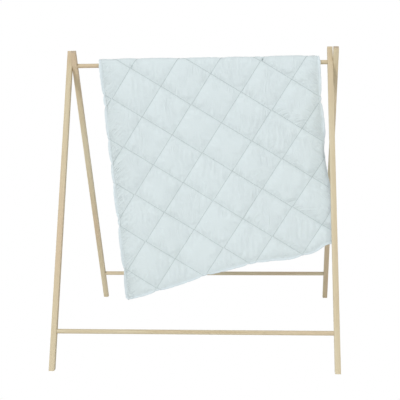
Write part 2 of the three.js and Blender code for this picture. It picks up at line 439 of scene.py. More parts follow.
@dataclass(frozen=True)
class CottonFinish:
    """Washed cotton percale of one colour, read from the cloth's own flat map, with painted shade
    in its creases and needle grooves and painted light on its hem band.
    """

    name: str
    colour: Colour
    worn: Colour
    # Painted shade colour, laid into the creases and the needle grooves.
    crease_shade: Colour
    # Painted light colour for the hem band.
    hem_painted_light: Colour
    start: Pair
    rows: tuple[Triple, Triple]
    square: float
    yarns: float = 1900.0

    def counted(self, board: NodeBoard, cloth: Socket) -> list[Socket]:
        """Returns the cloth's place counted in stitched squares, along the rows and across them."""
        start = (*self.start, 0.0)
        away = board.add("ShaderNodeVectorMath", {0: cloth, 1: start}, operation="SUBTRACT")
        return [
            board.add(
                "ShaderNodeVectorMath", {0: away.outputs[0], 1: count}, operation="DOT_PRODUCT"
            ).outputs[1]
            for count in self.rows
        ]

    def stitch_groove_shade(self, board: NodeBoard, counts: list[Socket]) -> Socket:
        """Adds the mask of the painted shade in the needle groove along the stitched rows.

        Args:
            board: The material's board.
            counts: The cloth's place counted in squares.

        Returns:
            A mask, 1 in the groove, where shade is painted, and 0 away from it.
        """
        masks = []
        for count in counts:
            part = board.math("FRACT", board.plus(count, 0.5))
            off_row = board.math("ABSOLUTE", board.minus(part, 0.5))
            away = board.times(off_row, self.square)
            masks.append(board.ease(away, 0.0028, 0.0006))
        return board.math("MAXIMUM", *masks)

    def wrinkles(
        self,
        board: NodeBoard,
        run: object,
        away: object,
        layer: object,
        reach: object,
        fine: float = 150.0,
    ) -> Socket:
        """Adds fine wrinkles that run away from a line of stitches.

        Args:
            board: The material's board.
            run: The distance along the stitches.
            away: The distance from them.
            layer: A number that makes one line differ from the next.
            reach: How far the wrinkles run.
            fine: How many wrinkles there are in a metre.

        Returns:
            How deep the cloth is creased, from 0 to 1.
        """
        spot = board.add(
            "ShaderNodeCombineXYZ",
            {0: board.times(run, fine), 1: board.times(away, 11.0), 2: layer},
        ).outputs[0]
        swing = board.math("ABSOLUTE", board.minus(board.noise(spot, 1.0, 1.0), 0.5))
        left = board.minus(1.0, board.math("DIVIDE", away, reach))
        shown = board.times(board.math("MAXIMUM", left, 0.0), board.ease(away, 0.0, 0.004))
        return board.times(board.ease(swing, 0.20, 0.0), shown)

    def crumple(
        self, board: NodeBoard, cloth: Socket, counts: list[Socket], margins: list[Socket]
    ) -> Socket:
        """Adds all the fine wrinkles that the needle and the hang leave in the cloth.

        Args:
            board: The material's board.
            cloth: The cloth's own flat map.
            counts: The cloth's place counted in squares.
            margins: The distances inside the side edges and inside the hems.

        Returns:
            How deep the cloth is creased, from 0 to 1.
        """
        x, over = board.split(cloth)[:2]
        beside, beneath = margins
        row = board.math("CEIL", counts[1])
        above = board.times(board.minus(row, counts[1]), self.square)
        below = board.times(board.math("FRACT", counts[1]), self.square)
        curve = board.times(above, board.math("MULTIPLY_ADD", above, 5.0, 1.0))
        lean = board.ease(x, 0.10, 0.50, 0.1, 1.2)
        run = board.minus(x, board.times(lean, curve))
        spread = board.add("ShaderNodeCombineXYZ", {0: x, 1: board.times(row, 0.3)}).outputs[0]
        reach = board.ease(board.noise(spread, 24.0, 1.0), 0.35, 0.62, 0.012, 0.085)
        layer = board.times(row, 3.7)
        patches = board.ease(board.noise(cloth, 9.0, 1.0), 0.45, 0.58, 0.001, 0.9)
        rays = board.minus(over, board.times(beside, 0.8))
        fuller = board.ease(x, 0.10, 0.45, 1.1, 1.4)
        height = board.minus(1.0, over)
        total = board.times(self.wrinkles(board, x, height, 5.0, 9.0), patches)
        drawn = [
            board.times(self.wrinkles(board, run, above, layer, reach, 120.0), fuller),
            self.wrinkles(board, x, below, board.plus(layer, 1.5), 0.018),
            board.times(self.wrinkles(board, rays, beside, 9.0, 0.085, 95.0), 1.8),
            self.wrinkles(board, x, beneath, 17.0, 0.035),
        ]
        for wrinkle in drawn:
            total = board.math("MAXIMUM", total, wrinkle)
        return total

    def material(self, group: Tree) -> Material:
        """Builds the finish.

        Args:
            group: The shared plain weave.

        Returns:
            The cotton material.
        """
        material, board, shader = new_material(self.name)
        cloth = board.add("ShaderNodeUVMap", uv_map="Cloth").outputs[0]
        edges = board.add("ShaderNodeUVMap", uv_map="Edges").outputs[0]
        margins = board.split(edges)[:2]
        weave = board.add("ShaderNodeGroup", node_tree=group)
        board.feed(weave, {"Cloth": cloth, "Yarns per metre": self.yarns})
        height, slub, tone = weave.outputs[:3]
        counts = self.counted(board, cloth)
        creased = self.crumple(board, cloth, counts, margins)
        hem_lightening = board.ease(board.math("MINIMUM", *margins), 0.0, -0.0015, 0.0, 0.7)
        groove_shade = board.times(self.stitch_groove_shade(board, counts), 0.22)
        tint = board.mix(board.ease(tone, 0.35, 0.7, 0.0, 0.8), self.colour, self.worn)
        tint = board.mix(board.times(slub, 0.10), tint, (0.86, 0.89, 0.89, 1.0))
        # Painted shade: the creases of the wrinkles are darkened a little.
        tint = board.mix(board.times(creased, 0.09), tint, self.crease_shade)
        # Painted light: the hem band outside the topstitching is lightened and blued.
        tint = board.mix(hem_lightening, tint, self.hem_painted_light)
        # Painted shade: the cloth in the needle groove beside each stitched row is darkened.
        tint = board.mix(groove_shade, tint, self.crease_shade)
        soft = board.bump(creased, 0.0012, 1.0, invert=True)
        relief = board.bump(height, 0.00012, 0.35, under=soft)
        look = {
            "Base Color": tint,
            "Roughness": board.ease(slub, 0.0, 1.0, 0.94, 0.84),
            "Normal": board.bump(slub, 0.0002, 0.3, under=relief),
            "Specular IOR Level": 0.2,
            "Sheen Weight": 0.18,
            "Sheen Roughness": 0.6,
        }
        board.feed(shader, look)
        return material


@dataclass(frozen=True)
class ThreadFinish:
    """Twisted polyester sewing thread."""

    name: str
    colour: Colour
    highlight: Colour

    def material(self) -> Material:
        """Builds the finish and returns it."""
        material, board, shader = new_material(self.name)
        spot = board.add("ShaderNodeTexCoord").outputs["Object"]
        ply = board.noise(board.stretch(spot, (2600.0, 2600.0, 2600.0)), 1.0, 2.0)
        tint = board.mix(board.ease(ply, 0.3, 0.7), self.colour, self.highlight)
        normal = board.bump(ply, 0.0001, 0.5)
        board.feed(shader, {"Base Color": tint, "Roughness": 0.7, "Normal": normal})
        return material


@dataclass(frozen=True)
class PaperFinish:
    """The plain white of the floor and the backdrop."""

    def material(self) -> Material:
        """Builds the finish and returns it."""
        material, board, shader = new_material("white_paper")
        spot = board.add("ShaderNodeTexCoord").outputs["Object"]
        mottle = board.noise(spot, 3.0, 2.0)
        grey, pale = (0.84, 0.84, 0.84, 1.0), (0.87, 0.87, 0.87, 1.0)
        tint = board.mix(board.ease(mottle, 0.3, 0.7), grey, pale)
        board.feed(shader, {"Base Color": tint, "Roughness": 1.0, "Specular IOR Level": 0.0})
        glow = board.add("ShaderNodeEmission", {"Color": WHITE, "Strength": 1.0})
        seen = board.add("ShaderNodeLightPath").outputs["Is Camera Ray"]
        both = board.add("ShaderNodeMixShader", {0: seen, 1: shader.outputs[0], 2: glow.outputs[0]})
        board.feed(board.tree.nodes["Material Output"], {0: both.outputs[0]})
        return material


# Studio -----------------------------------------------------------------------------------


@dataclass
class Studio:
    """A white sweep, soft light and the camera."""

    sweep_width: float = 16.0
    sweep_back: float = 5.0
    sweep_front: float = 9.0
    sweep_height: float = 6.0
    bend: float = 2.0
    camera_place: Triple = (0.2663, -3.6527, 1.1852)
    camera_yaw: float = 4.392
    camera_pitch: float = 9.373
    camera_roll: float = 0.944
    lens_mm: float = 77.26
    world_strength: float = 0.55
    key_strength: float = 1.25
    fill_strength: float = 0.35

    def build(self) -> None:
        """Builds the sweep, the lights and the camera."""
        self.sweep()
        self.lights()
        self.camera()
        bpy.context.scene.view_settings.view_transform = "Standard"
        LOG.info("studio: sweep, lights and camera")

    def sweep(self) -> None:
        """Builds the floor that bends up into the backdrop."""
        paper = bmesh.new()
        bmesh.ops.create_grid(paper, x_segments=2, y_segments=40, size=0.5)
        run = self.sweep_front + self.sweep_back + self.sweep_height
        flat = self.sweep_front + self.sweep_back - self.bend
        for corner in paper.verts:
            along = (corner.co.y + 0.5) * run
            angle = min(max((along - flat) / self.bend, 0.0), QUARTER)
            past = max(along - flat - self.bend * QUARTER, 0.0)
            corner.co = (
                corner.co.x * self.sweep_width,
                min(along, flat) + self.bend * math.sin(angle) - self.sweep_front,
                self.bend * (1.0 - math.cos(angle)) + past - 0.0005,
            )
        floor = place("floor", paper)
        floor.data.materials.append(PaperFinish().material())

    def lights(self) -> None:
        """Sets two soft lights in an even white surround."""
        world = bpy.data.worlds.new("white_surround")
        world.use_nodes = True
        board = NodeBoard(world.node_tree)
        surround = world.node_tree.nodes["Background"]
        board.feed(surround, {0: WHITE, 1: self.world_strength})
        plain = board.add("ShaderNodeBackground", {"Color": WHITE, "Strength": 1.0})
        seen = board.add("ShaderNodeLightPath").outputs["Is Camera Ray"]
        mixed = {0: seen, 1: surround.outputs[0], 2: plain.outputs[0]}
        both = board.add("ShaderNodeMixShader", mixed)
        board.feed(board.tree.nodes["World Output"], {0: both.outputs[0]})
        bpy.context.scene.world = world
        self.soft_sun("key", (-1.0, -1.75, 1.15), self.key_strength, 16.0)
        self.soft_sun("fill", (1.2, -2.2, 0.5), self.fill_strength, 50.0)

    def soft_sun(self, name: str, towards: Triple, strength: float, spread: float) -> None:
        """Adds one even light that falls on the whole set alike.

        Args:
            name: The light's name.
            towards: The direction that it comes from.
            strength: Its strength.
            spread: Its apparent size in degrees, which softens the shadows.
        """
        light = bpy.data.lights.new(name, "SUN")
        light.energy = strength
        light.angle = math.radians(spread)
        lamp = bpy.data.objects.new(name, light)
        lamp.rotation_euler = Vector(towards).to_track_quat("Z", "Y").to_euler()
        bpy.context.scene.collection.objects.link(lamp)

    def camera(self) -> None:
        """Stands the camera a little to the right, level with the top rail."""
        angles = (self.camera_yaw, self.camera_pitch, self.camera_roll)
        yaw, pitch, roll = (math.radians(angle) for angle in angles)
        share, dip = math.cos(pitch), math.sin(pitch)
        ahead = Vector((-math.sin(yaw) * share, math.cos(yaw) * share, -dip))
        level = ahead.cross(Vector((0.0, 0.0, 1.0))).normalized()
        above = level.cross(ahead)
        right = math.cos(roll) * level - math.sin(roll) * above
        up = math.sin(roll) * level + math.cos(roll) * above
        view = bpy.data.cameras.new("camera")
        view.lens = self.lens_mm
        view.sensor_width = 36.0
        eye = bpy.data.objects.new("camera", view)
        turn = Matrix((right, up, -ahead)).transposed().to_4x4()
        eye.matrix_world = Matrix.Translation(self.camera_place) @ turn
        bpy.context.scene.collection.objects.link(eye)
        bpy.context.scene.camera = eye


# Rack -------------------------------------------------------------------------------------


@dataclass
class PineStick:
    """One stick of the rack: a leg with its long edges softened, or a rail that is merged and
    shaded smooth only.
    """

    node: str
    body: str
    grain: Grain
    piece: float
    edge_softness: float = 0.0012
    shortest_soft_edge: float = 0.015

    def build(self, group: Tree) -> Piece:
        """Builds the stick.

        Args:
            group: The shared pine figure.

        Returns:
            The finished stick, which stands for its CAD solid.
        """
        solid = merged_copy(self.node)
        soft = [
            edge
            for edge in solid.edges
            if edge.calc_length() > self.shortest_soft_edge
            and len(edge.link_faces) == 2
            and edge.calc_face_angle() > math.radians(40.0)
        ]
        if self.grain is not Grain.ACROSS:
            soften(solid, soft, self.edge_softness, 3)
        stick = place(f"pine_{self.node}", solid)
        stick.data.materials.append(PineFinish(self.grain, self.piece).material(group))
        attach(stick, self.body)
        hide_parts(self.node)
        LOG.info("%s: %d faces", stick.name, len(stick.data.polygons))
        return stick


@dataclass
class Screw:
    """One wood screw: a turned head and thread, with a cross recess."""

    node: str
    body: str
    countersunk: bool
    shank: float = 0.002
    root: float = 0.0015
    pitch: float = 0.0014
    point: float = 0.004
    recess: Triple = (0.0044, 0.0010, 0.0022)

    def head(self) -> list[Pair]:
        """Returns the head's outline, as radius and depth from its outer face."""
        if self.countersunk:
            return [(0.0, 0.0), (0.0038, 0.0), (0.0040, 0.0002), (0.0021, 0.0029)]
        dome = [(0.0, 0.0), (0.0024, 0.00006), (0.0037, 0.00034), (0.0044, 0.0009)]
        return [*dome, (0.0045, 0.0014), (0.0021, 0.0014)]

    def build(self, steel: Material) -> None:
        """Builds the screw where its CAD solid is.

        Args:
            steel: The screw's finish.
        """
        low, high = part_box(self.node)
        outward = 1.0 if high.x > 0.0 else -1.0
        outer = high.x if outward > 0.0 else low.x
        length = high.x - low.x
        outline = self.head()
        depth = outline[-1][1] + 0.0004
        while depth < length - self.point:
            outline += [(self.root, depth), (self.shank, depth + self.pitch * 0.5)]
            depth += self.pitch
        outline += [(self.root, depth), (0.0, length)]
        turned = bmesh.new()
        corners = [turned.verts.new((radius, 0.0, -down)) for radius, down in outline]
        for first, second in zip(corners, corners[1:]):
            turned.edges.new((first, second))
        bmesh.ops.spin(
            turned,
            geom=turned.verts[:] + turned.edges[:],
            cent=(0.0, 0.0, 0.0),
            axis=(0.0, 0.0, 1.0),
            angle=2.0 * math.pi,
            steps=32,
            use_merge=True,
        )
        bmesh.ops.remove_doubles(turned, verts=turned.verts, dist=MERGE_DISTANCE / 10)
        bmesh.ops.recalc_face_normals(turned, faces=turned.faces)
        blank = place(f"{self.node}_blank", turned)
        finished = self.cut_recess(blank)
        turn = Matrix.Rotation(outward * QUARTER, 4, "Y")
        middle = (low + high) / 2
        finished.transform(Matrix.Translation((outer, middle.y, middle.z)) @ turn)
        screw = bpy.data.objects.new(f"steel_{self.node}", finished)
        bpy.context.scene.collection.objects.link(screw)
        finished.materials.clear()
        finished.materials.append(steel)
        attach(screw, self.body)
        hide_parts(self.node)

    def cut_recess(self, blank: Piece) -> Mesh:
        """Cuts the cross recess into a turned blank.

        Args:
            blank: The screw without its recess, which is removed.

        Returns:
            The finished mesh.
        """
        cutters = []
        for angle in (0.0, 90.0):
            slot = bmesh.new()
            bmesh.ops.create_cube(slot, size=1.0)
            bmesh.ops.scale(slot, vec=self.recess, verts=slot.verts)
            foot = [corner for corner in slot.verts if corner.co.z < 0.0]
            bmesh.ops.scale(slot, vec=(0.35, 0.7, 1.0), verts=foot)
            turn = Matrix.Rotation(math.radians(angle), 3, "Z")
            bmesh.ops.rotate(slot, matrix=turn, verts=slot.verts)
            cutter = place(f"{self.node}_cutter", slot)
            cutters.append(cutter)
            cut = blank.modifiers.new("recess", "BOOLEAN")
            cut.object = cutter
            cut.operation = "DIFFERENCE"
            cut.solver = "EXACT"
        graph = bpy.context.evaluated_depsgraph_get()
        finished = bpy.data.meshes.new_from_object(blank.evaluated_get(graph))
        for spent in (blank, *cutters):
            bpy.data.objects.remove(spent)
        return finished


@dataclass
class Rack:
    """The two pine frames, the top rail between them and the fixings."""

    def build(self) -> None:
        """Builds every stick and every fixing."""
        group = pine_grain_group()
        sticks = [
            ("front_left_leg", "front_frame", Grain.LEANING_FORWARD),
            ("front_right_leg", "front_frame", Grain.LEANING_FORWARD),
            ("front_lower_rail", "front_frame", Grain.ACROSS),
            ("rear_left_leg", "rear_frame", Grain.LEANING_BACK),
            ("rear_right_leg", "rear_frame", Grain.LEANING_BACK),
            ("rear_lower_rail", "rear_frame", Grain.ACROSS),
            ("top_rail", "rail", Grain.ACROSS),
        ]
        for number, (node, body, grain) in enumerate(sticks):
            PineStick(node, body, grain, 1.0 + number).build(group)
        steel = SteelFinish().material()
        for side in ("left", "right"):
            Screw(f"front_rail_screw_{side}", "front_frame", True).build(steel)
            Screw(f"rear_rail_screw_{side}", "rear_frame", True).build(steel)
            Screw(f"pivot_screw_{side}", "rail", False).build(steel)
            self.washer(f"pivot_washer_{side}", steel)
        LOG.info("rack: %d sticks and their fixings", len(sticks))

    def washer(self, node: str, steel: Material) -> None:
        """Builds a washer with its stamped edges rounded.

        Args:
            node: The CAD solid that it stands for.
            steel: The washer's finish.
        """
        ring = merged_copy(node)
        rims = [edge for edge in ring.edges if edge.calc_face_angle(0.0) > math.radians(60.0)]
        soften(ring, rims, 0.0002, 2)
        piece = place(f"steel_{node}", ring)
        piece.data.materials.append(steel)
        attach(piece, "rail")
        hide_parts(node)


# Quilt ------------------------------------------------------------------------------------


@dataclass
class Quilt:
    """A padded cotton quilt, stitched in squares, hung askew over the top rail.

    The cloth is made flat first. Its flat points are (x, over, out): x runs along the rail,
    over is the distance across the rail, below zero on the front half and above zero on the
    back half, and out is the height above the middle of the padding.
    """

    axis_height: float = 1.161
    rail_radius: float = 0.009
    bend_out: float = 0.0175
    rest_gap: float = 0.0004
    rail_contact: float = 0.067
    bend_up: float = 0.0262
    crossing: Pair = (0.211, -0.359)
    row: Pair = (0.1273, -0.0781)
    column: Pair = (-0.0840, -0.1280)
    cells: int = 28
    squareness: float = 4.6
    puff_face: float = 0.0030
    puff_backing: float = 0.0034
    seam_height: float = 0.0008
    hem: float = 0.0105
    scallop: float = 0.006
    hem_rings: tuple[Pair, ...] = (
        (0.25, 0.0013),
        (0.55, 0.0016),
        (0.82, 0.0012),
        (1.0, 0.0),
    )
    front_turning: float = 1.04
    back_turning: float = 1.03
    slack_open: float = 0.030
    slack_sewn: float = 0.068
    stiffness: float = 0.07
    pressure: float = 2.6
    steps: int = 22
    most_swell: float = 0.007
    flatness: float = 0.85
    spread_passes: int = 30
    crease_height: float = 0.0012
    pucker_height: float = 0.0011
    pucker_pitch: float = 0.015
    needle_width: float = 0.003
    edge_reach: float = 0.024
    edge_pitch: float = 0.018
    edge_gain: float = 1.9
    square_side: float = 0.15
    knot_gap: float = 0.0030
    thread_radius: float = 0.00055
    most_roll: float = 1.95
    fold_place: Pair = (0.49, -0.720)
    fold_height: float = 0.007
    fold_width: float = 0.009

    # Cut ----------------------------------------------------------------------------------

    def left_edge(self, over: Array) -> Array:
        """Returns x of the left edge of the cloth, at distances across the rail."""
        front = -0.434 - 0.0843 * over
        back = -0.434 + 0.11 * over
        return np.where(over < 0.0, front, back)

    def right_edge(self, over: Array) -> Array:
        """Returns x of the right edge of the cloth, at distances across the rail."""
        front = 0.495 - 0.025 * over + 0.155 * over**2
        back = 0.495 - 0.225 * over
        return np.where(over < 0.0, front, back)

    def front_hem(self, x: Array) -> Array:
        """Returns how far down the front hem lies, as a distance across the rail."""
        height = 0.006 + 0.019 * smoothstep(x, 0.18, 0.42)
        ripple = np.sin(2 * np.pi * (x + 0.09) / 0.68) * height
        calm = 1.0 - smoothstep(x, 0.46, 0.56)
        level_end = 0.014 * smoothstep(x, 0.50, 0.60)
        return 0.146 + 0.28 * (x + 0.338) + ripple * calm - level_end - self.hang_zero

    def back_hem(self, x: Array) -> Array:
        """Returns how far down the back hem lies, as a distance across the rail."""
        return 0.377 + 0.247 * (x + 0.392)

    @property
    def hang_zero(self) -> float:
        """The height that the front half would reach if it went straight up."""
        return self.axis_height + float(self.bend_lengths()[1][-1])

    def bend_lengths(self) -> tuple[Array, Array]:
        """Returns angles from the rail's top, and the cloth's length from there to each."""
        angles = np.linspace(0.0, QUARTER, 33)
        pace = np.hypot(self.bend_out * np.cos(angles), self.bend_up * np.sin(angles))
        parts = (pace[1:] + pace[:-1]) / 2 * np.diff(angles)
        lengths = np.concatenate([[0.0], np.cumsum(parts)])
        return angles, lengths

    def inside(self, x: Array, over: Array) -> Array:
        """Returns how far points lie inside the topstitched line, below zero outside it."""
        gaps = [
            x - self.left_edge(over) - self.hem,
            self.right_edge(over) - x - self.hem,
            over - self.front_hem(x) - self.hem * self.front_turning,
            self.back_hem(x) - over - self.hem * self.back_turning,
        ]
        puffed = np.reshape(self.between_rows(x, over), np.shape(x))
        drawn_in = self.scallop * (puffed - 0.6)
        return np.min(gaps, axis=0) + drawn_in

    def inside_one(self, x: float, over: float) -> float:
        """Returns how far one point lies inside the topstitched line."""
        return float(self.inside(np.array(x), np.array(over)))

    def squares(self, x: Array, over: Array) -> tuple[Array, Array]:
        """Turns flat points into counts of stitched squares along the rows and columns."""
        matrix = np.linalg.inv(np.array([self.row, self.column]).T)
        from_start = [np.ravel(x) - self.crossing[0], np.ravel(over) - self.crossing[1]]
        spot = matrix @ np.array(from_start)
        return spot[0], spot[1]

    def onto_edge(self, x: float, over: float) -> Pair:
        """Moves a point onto the topstitched line.

        Args:
            x: The point's place along the rail.
            over: Its place across the rail.

        Returns:
            The nearest point where the topstitching runs.
        """
        for _ in range(6):
            step = 1e-4
            here = self.inside_one(x, over)
            slope_x = (self.inside_one(x + step, over) - here) / step
            slope_o = (self.inside_one(x, over + step) - here) / step
            size = slope_x**2 + slope_o**2
            x, over = x - here * slope_x / size, over - here * slope_o / size
        return x, over

    def flat_sheet(self) -> Solid:
        """Cuts the face cloth on the stitch lines' own grid, with its turned hem.

        Returns:
            The flat cloth, with a layer that marks the corners held by thread.
        """
        first, last, low, high = -6, 6, -7, 7
        wide, tall = last - first, high - low
        sheet = bmesh.new()
        bmesh.ops.create_grid(
            sheet, x_segments=wide * self.cells, y_segments=tall * self.cells, size=0.5
        )
        held = sheet.verts.layers.int.new("held")
        steps = (self.row, self.column, self.crossing)
        row, column, start = (Vector((*step, 0)) for step in steps)
        for corner in sheet.verts:
            along = (corner.co.x + 0.5) * wide + first
            down = (corner.co.y + 0.5) * tall + low
            near = min(abs(along - round(along)), abs(down - round(down)))
            corner[held] = int(near < 0.1 / self.cells)
            corner.co = start + row * along + column * down
        middles = np.array([face.calc_center_median()[:2] for face in sheet.faces])
        kept = self.inside(middles[:, 0], middles[:, 1]) > 0.0
        waste = [face for face, keep in zip(sheet.faces, kept) if not keep]
        bmesh.ops.delete(sheet, geom=waste, context="FACES")
        lonely = [
            face for face in sheet.faces if sum(edge.is_boundary for edge in face.edges) > 2
        ]
        bmesh.ops.delete(sheet, geom=lonely, context="FACES")
        for corner in sheet.verts:
            if corner.is_boundary:
                corner.co.x, corner.co.y = self.onto_edge(corner.co.x, corner.co.y)
                corner[held] = 1
        sheet.normal_update()
        if sum(face.normal.z for face in sheet.faces) < 0.0:
            bmesh.ops.reverse_faces(sheet, faces=sheet.faces)
        self.turn_hem(sheet, held)
        return sheet

    def turn_hem(self, sheet: Solid, held: object) -> None:
        """Adds the hem outside the topstitched line.

        Args:
            sheet: The cut cloth, which gains the hem.
            held: The layer that marks the corners held by thread.
        """
        lift = sheet.verts.layers.float.new("lift")
        rim = [edge for edge in sheet.edges if edge.is_boundary]
        before = 0.0
        for share, height in self.hem_rings:
            outward = {}
            for edge in rim:
                face = edge.link_faces[0]
                along = edge.verts[1].co - edge.verts[0].co
                out = Vector((along.y, -along.x, 0.0)).normalized()
                if out.dot(face.calc_center_median() - edge.verts[0].co) > 0:
                    out.negate()
                for corner in edge.verts:
                    outward.setdefault(corner, []).append(out)
            new = bmesh.ops.extrude_edge_only(sheet, edges=rim)["geom"]
            grown = [item for item in new if isinstance(item, bmesh.types.BMVert)]
            edges = [item for item in new if isinstance(item, bmesh.types.BMEdge)]
            rim = [edge for edge in edges if edge.is_boundary]
            for corner in grown:
                beside = (edge.other_vert(corner) for edge in corner.link_edges)
                source = next(other for other in beside if other in outward)
                first, second = outward[source][:2]
                across = (first + second).normalized()
                reach = (share - before) * self.hem / max(across.dot(first), 0.6)
                corner.co += across * reach
                corner[lift] = height
                corner[held] = 0
            before = share
        sheet.normal_update()

    # Padding ------------------------------------------------------------------------------

    def between_rows(self, x: Array, over: Array) -> Array:
        """Returns 0 at the stitched rows, rising to 1 in the middle of a square."""
        full = 1.0
        for count in self.squares(x, over):
            away = np.abs(count - np.round(count)) * 2.0
            full = full * (1.0 - (1.0 - away) ** self.squareness)
        return full

    def pillow(self, x: Array, over: Array) -> Array:
        """Returns the share of full padding, which also runs out towards the hem."""
        to_hem = 1.0 - (1.0 - np.clip(self.inside(x, over) / 0.05, 0.0, 1.0)) ** 2.6
        return to_hem * self.between_rows(x, over)

    def gathering(self, x: Array, over: Array) -> Array:
        """Returns how much thread gathers the cloth, from 1 at the stitches down to 0."""
        along, down = self.squares(x, over)
        away = np.minimum(np.abs(along - np.round(along)), np.abs(down - np.round(down)))
        away = np.minimum(away, np.maximum(self.inside(x, over), 0.0) / self.square_side)
        return 1.0 - smoothstep(away, 0.03, 0.22)

    def puckers(self, x: Array, over: Array) -> Array:
        """Returns the height of the puckers above each stitched row and along the side edges."""
        down = self.squares(x, over)[1]
        row = np.ceil(down)
        above = (row - down) * self.square_side
        below = (down - np.floor(down)) * self.square_side
        lean = 0.1 + 1.1 * smoothstep(x, 0.10, 0.50)
        run = x - lean * above * (1.0 + 5.0 * above)
        drift = 1.6 * np.sin(run * 35.0 + row * 2.7) + 0.9 * np.sin(run * 83.0 + row)
        reach = 0.012 + 0.030 * (0.5 + 0.5 * np.sin(x * 29.0 + row * 4.1)) ** 2
        wave = np.sin(2.0 * np.pi * run / self.pucker_pitch + drift)
        total = self.drawn(above, reach) * wave
        total += 0.5 * self.drawn(below, 0.009) * wave
        beside = np.minimum(x - self.left_edge(over), self.right_edge(over) - x) - self.hem
        beside = np.maximum(beside, 0.0)
        rays = 2.0 * np.pi * (over - 0.8 * beside) / self.edge_pitch
        ripple = np.sin(rays + 1.4 * np.sin(over * 23.0))
        total *= 1.0 + 0.3 * smoothstep(x, 0.20, 0.50)
        total += self.edge_gain * self.drawn(beside, self.edge_reach) * ripple
        return self.pucker_height * total

    def drawn(self, away: Array, reach: Array | float) -> Array:
        """Returns a pucker's share beside a line of stitches, none on the line itself."""
        return (1.0 - np.exp(-away / self.needle_width)) * np.exp(-away / reach)

    def creases(self, x: Array, over: Array) -> Array:
        """Returns the height of the soft hanging creases inside the squares."""
        along, down = self.squares(x, over)
        drift = 0.006 * np.sin(over * 31.0 + np.floor(along) * 2.1)
        drift = drift + 0.004 * np.sin(over * 73.0 + np.floor(down))
        wave = np.sin(2.0 * np.pi * (x + drift) / 0.023)
        wave = wave + 0.5 * np.sin(2.0 * np.pi * (x - drift) / 0.0139 + 1.3)
        spots = np.sin(x * 17.0 + over * 9.0) + np.sin(over * 14.0 - x * 6.0 + 2.0)
        patch = smoothstep(spots, 0.1, 1.3)
        return self.crease_height * wave * patch * self.pillow(x, over) ** 2

    def plump(self, x: Array, over: Array) -> Array:
        """Returns how much more or less padding each square has than the usual."""
        along, down = self.squares(x, over)
        square = np.floor(along) * 2.39 + np.floor(down) * 4.71
        fuller = 1.0 + 0.35 * smoothstep(x, 0.10, 0.45)
        return fuller * (1.0 + 0.14 * np.sin(square * 3.3) + 0.06 * np.sin(square * 7.1))

    def closed_pad(self) -> tuple[Piece, Array]:
        """Lays the face on the backing, sews their edges together and pads them.

        Returns:
            The flat padded quilt, and which of its corners are held by thread.
        """
        pad = self.flat_sheet()
        held = pad.verts.layers.int["held"]
        lift = pad.verts.layers.float["lift"]
        side = pad.verts.layers.int.new("side")
        for corner in pad.verts:
            corner[side] = Side.FACE.value
        copy = bmesh.ops.duplicate(pad, geom=pad.verts[:] + pad.edges[:] + pad.faces[:])["geom"]
        for item in copy:
            if isinstance(item, bmesh.types.BMVert):
                item[side] = Side.BACKING.value
        faces = [item for item in copy if isinstance(item, bmesh.types.BMFace)]
        bmesh.ops.reverse_faces(pad, faces=faces)
        x, over = np.array([corner.co[:2] for corner in pad.verts]).T
        padding = self.pillow(x, over) * self.plump(x, over)
        deep = self.inside(x, over)
        for number, corner in enumerate(pad.verts):
            puff = self.puff_face if corner[side] > 0 else self.puff_backing
            height = self.seam_height
            if corner[lift] > 0.0:
                height = corner[lift]
            elif deep[number] > 1e-4:
                height = self.seam_height + puff * padding[number]
            corner.co.z = corner[side] * height
        rim = [corner for corner in pad.verts if corner.is_boundary]
        for corner in rim:
            corner.co.z = 0.0
        bmesh.ops.remove_doubles(pad, verts=rim, dist=MERGE_DISTANCE)
        pad.verts.ensure_lookup_table()
        pinned = np.array([corner[held] for corner in pad.verts], bool)
        return place("quilt_pad", pad), pinned

    def swell(self, pad: Piece, pinned: Array) -> None:
        """Blows the padding up between the stitches, so that the slack cloth puckers.

        Args:
            pad: The flat padded quilt, whose corners move.
            pinned: Which of its corners are held by thread.
        """
        start = coordinates(pad.data)
        grip = pad.vertex_groups.new(name="held by thread")
        grip.add([int(n) for n in np.nonzero(pinned)[0]], 1.0, "REPLACE")
        gather = pad.vertex_groups.new(name="gathered")
        shares = self.gathering(start[:, 0], start[:, 1])
        for number, share in enumerate(shares):
            gather.add([number], float(share), "REPLACE")
        cloth = pad.modifiers.new("swelling", "CLOTH")
        cloth.settings.vertex_group_shrink = gather.name
        cloth.settings.shrink_min = -self.slack_open
        cloth.settings.shrink_max = -self.slack_sewn
        cloth.settings.vertex_group_mass = grip.name
        cloth.settings.use_pressure = True
        cloth.settings.uniform_pressure_force = self.pressure
        cloth.settings.effector_weights.gravity = 0.0
        cloth.settings.quality = 5
        cloth.settings.bending_stiffness = self.stiffness
        scene = bpy.context.scene
        for step in range(1, self.steps + 1):
            scene.frame_set(step)
        graph = bpy.context.evaluated_depsgraph_get()
        swollen = coordinates(pad.evaluated_get(graph).data)
        scene.frame_set(1)
        pad.modifiers.remove(cloth)
        moved = swollen - start
        broad = self.spread_out(pad.data, moved[:, 2])
        moved[:, 2] = moved[:, 2] - broad + (1.0 - self.flatness) * broad
        size = np.linalg.norm(moved, axis=1, keepdims=True)
        moved *= np.minimum(1.0, self.most_swell / np.maximum(size, 1e-9))
        shaped = start + moved
        outward = np.sign(start[:, 2])
        least = np.maximum(np.abs(start[:, 2]) * 0.45, self.seam_height * 0.5)
        inflated = np.abs(start[:, 2]) > 1e-5
        low = inflated & (shaped[:, 2] * outward < least)
        shaped[low, 2] = (outward * least)[low]
        x, over = start[:, 0], start[:, 1]
        shaped[:, 2] += outward * (self.creases(x, over) + self.puckers(x, over))
        set_coordinates(pad.data, shaped)
        LOG.info(
            "padding: swelled by up to %.1f mm, %.1f mm on the whole",
            1000 * float(np.abs(moved[:, 2]).max()),
            1000 * float((moved[:, 2] * outward).mean()),
        )

